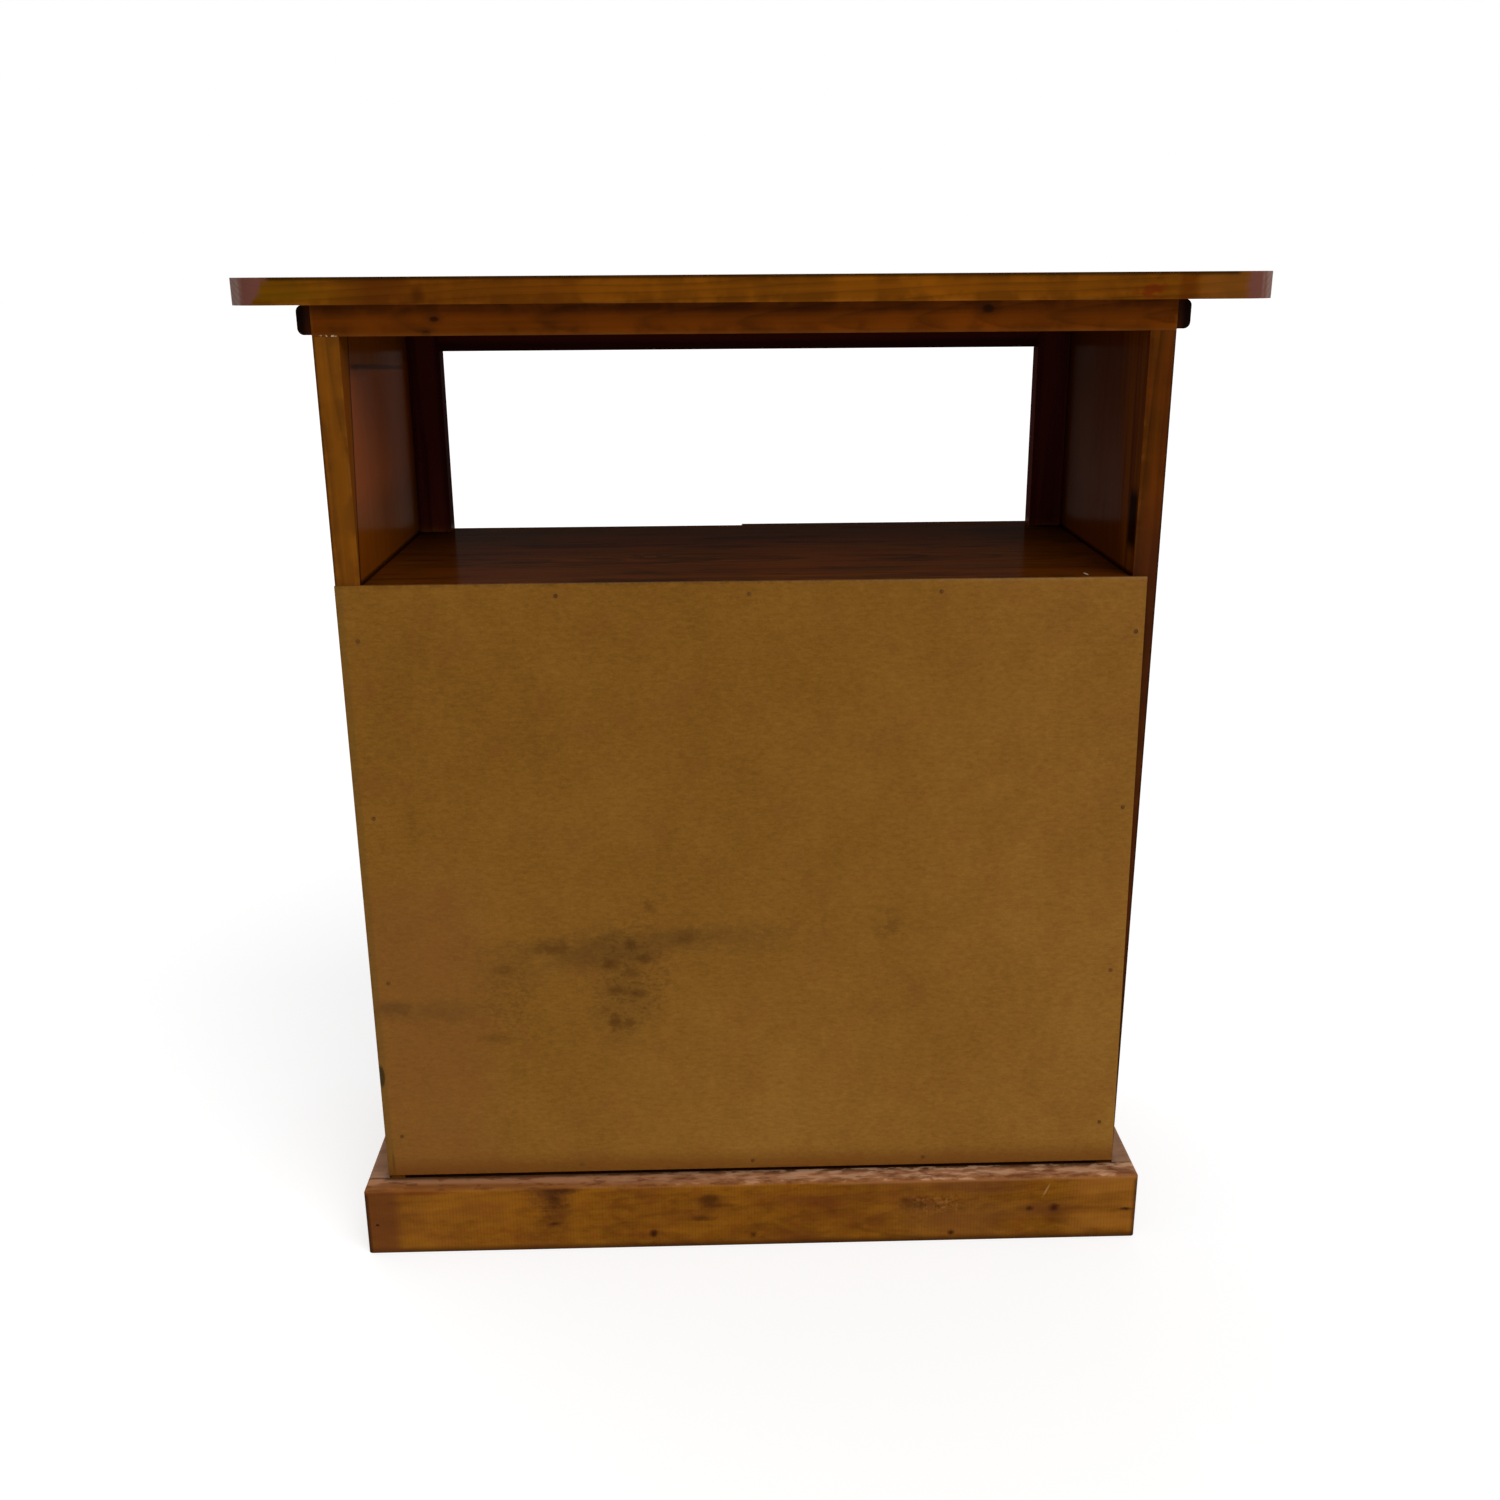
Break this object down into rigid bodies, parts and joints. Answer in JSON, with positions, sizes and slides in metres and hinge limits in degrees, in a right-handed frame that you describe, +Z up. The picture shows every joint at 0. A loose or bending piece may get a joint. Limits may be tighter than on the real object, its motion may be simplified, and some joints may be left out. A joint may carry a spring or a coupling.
{
  "type": "accent cabinet",
  "caption": "Stained pine accent cabinet with an open see-through bay under an overhanging top, a cupboard behind a pair of hinged doors, and a plinth.",
  "frame": {"origin": "on the floor under the middle of the cabinet's whole box", "axes": "+X to the right as seen from the front, +Y to the back, +Z up; the doors open towards -Y"},
  "size_m": [0.798, 0.365, 0.845],
  "materials": {
    "top_pine": "glossy amber-stained pine",
    "side_pine": "glossy amber-stained pine",
    "shelf_pine": "glossy amber-stained pine",
    "frame_pine": "glossy amber-stained pine",
    "door_pine": "glossy amber-stained pine",
    "plinth_pine": "satin amber-stained knotty pine",
    "dark_pine": "glossy reddish-brown stained pine",
    "knob_wood": "glossy reddish-brown stained wood",
    "inner_pine": "satin lightly stained pine",
    "raw_pine": "bare pine",
    "hardboard": "smooth semi-matte hardboard",
    "brass": "aged satin brass",
    "steel": "zinc-plated steel",
    "nail_steel": "dull dark steel",
    "brown_plastic": "matte brown plastic",
    "magnet": "dark ferrite"
  },
  "bodies": {
    "cabinet": {"top_plank_rear": "top_pine", "top_plank_middle": "top_pine", "top_plank_front": "top_pine", "rear_top_rail": "dark_pine", "left_side_panel": "side_pine", "right_side_panel": "side_pine", "bay_shelf": "shelf_pine", "bottom_board": "inner_pine", "inner_shelf": "inner_pine", "shelf_pegs": "brass", "left_frame_stile": "frame_pine", "right_frame_stile": "frame_pine", "frame_top_rail": "frame_pine", "frame_mid_rail": "frame_pine", "frame_bottom_rail": "frame_pine", "face_frame_dowels": "raw_pine", "left_top_moulding": "dark_pine", "right_top_moulding": "dark_pine", "front_top_moulding": "dark_pine", "back_panel": "hardboard", "back_panel_nails": "nail_steel", "plinth_rear_board": "plinth_pine", "plinth_front_board": "plinth_pine", "plinth_left_board": "plinth_pine", "plinth_right_board": "plinth_pine", "plinth_nails": "nail_steel", "plinth_glue_blocks": "raw_pine", "top_screws": "steel", "left_hinge_frame_leaves": "brass", "right_hinge_frame_leaves": "brass", "left_hinge_pins": "brass", "right_hinge_pins": "brass", "hinge_frame_screws": "brass", "left_catch_housing": "brown_plastic", "right_catch_housing": "brown_plastic", "catch_magnets": "magnet", "catch_screws": "steel"},
    "left_door": {"left_door_hinge_stile": "door_pine", "left_door_meeting_stile": "door_pine", "left_door_top_rail": "door_pine", "left_door_bottom_rail": "door_pine", "left_door_panel": "door_pine", "left_door_knob": "knob_wood", "left_knob_screw": "steel", "left_hinge_door_leaves": "brass", "left_hinge_door_screws": "brass", "left_strike_plate": "steel", "left_strike_screws": "steel"},
    "right_door": {"right_door_hinge_stile": "door_pine", "right_door_meeting_stile": "door_pine", "right_door_top_rail": "door_pine", "right_door_bottom_rail": "door_pine", "right_door_panel": "door_pine", "right_door_knob": "knob_wood", "right_knob_screw": "steel", "right_hinge_door_leaves": "brass", "right_hinge_door_screws": "brass", "right_strike_plate": "steel", "right_strike_screws": "steel"}
  },
  "joints": [
    {"name": "left_door_hinge", "type": "hinge", "parent": "cabinet", "child": "left_door", "pos_m": [-0.3267, -0.1178, 0.35], "axis": [0, 0, -1], "range_deg": [0, 180]},
    {"name": "right_door_hinge", "type": "hinge", "parent": "cabinet", "child": "right_door", "pos_m": [0.3407, -0.1178, 0.35], "axis": [0, 0, 1], "range_deg": [0, 180]}
  ]
}
